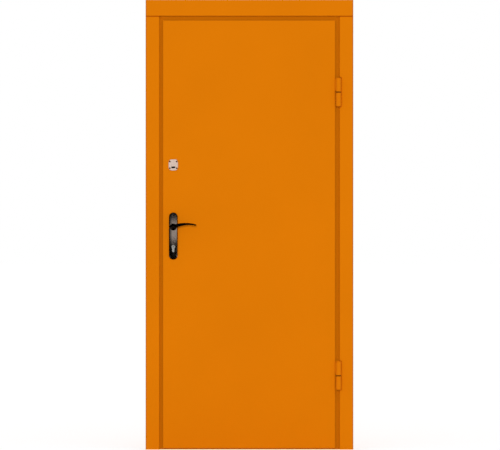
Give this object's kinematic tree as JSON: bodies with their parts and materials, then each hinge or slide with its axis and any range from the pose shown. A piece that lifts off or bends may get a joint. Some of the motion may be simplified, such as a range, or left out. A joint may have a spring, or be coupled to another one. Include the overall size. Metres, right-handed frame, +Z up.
{
  "type": "steel entrance door",
  "caption": "Flush painted steel entrance door in a tube frame with casings: an outward-opening leaf on barrel hinges, with a lever handle on a long plate and a key plate above.",
  "frame": {"origin": "on the floor, in the middle of the sill's underside: mid-width and mid-depth of the frame's tubes", "axes": "+Z up, +Y into the building, +X towards the hinges as seen from outside"},
  "size_m": [0.96, 0.172, 2.08],
  "materials": {
    "paint": "satin orange powder coat",
    "rubber": "matt black foam rubber",
    "steel": "zinc plated steel",
    "nickel": "satin nickel plate",
    "bronze": "glossy dark bronze lacquer",
    "chrome": "pale satin chrome"
  },
  "bodies": {
    "frame": {"frame_head": "paint", "lock_jamb": "paint", "hinge_jamb": "paint", "sill": "paint", "head_casing": "paint", "lock_casing": "paint", "hinge_casing": "paint", "head_seal": "rubber", "sill_seal": "rubber", "lock_seal": "rubber", "hinge_seal": "rubber", "upper_strike_plate": "steel", "lower_strike_plate": "steel", "upper_hinge_frame_half": "paint", "lower_hinge_frame_half": "paint", "upper_hinge_ring": "steel", "lower_hinge_ring": "steel"},
    "leaf": {"outer_skin": "paint", "inner_skin": "paint", "lock_stile": "paint", "hinge_stile": "paint", "top_rail": "paint", "bottom_rail": "paint", "upper_hinge_leaf_half": "paint", "lower_hinge_leaf_half": "paint", "upper_lock": "steel", "lower_lock": "steel", "lock_cylinder": "nickel", "outer_handle_plate": "bronze", "inner_handle_plate": "bronze", "outer_key_plate": "chrome", "inner_key_plate": "chrome"},
    "lever": {"outer_lever": "bronze", "inner_lever": "bronze", "spindle": "steel"}
  },
  "joints": [
    {"name": "leaf_swing", "type": "hinge", "parent": "frame", "child": "leaf", "pos_m": [0.4115, -0.05, 1], "axis": [0, 0, 1], "range_deg": [0, 170]},
    {"name": "lever_turn", "type": "hinge", "parent": "leaf", "child": "lever", "pos_m": [-0.352, -0.017, 1.029], "axis": [0, 1, 0], "range_deg": [0, 45], "stiffness_Nm_per_rad": 2, "springref_deg": -22.92}
  ]
}
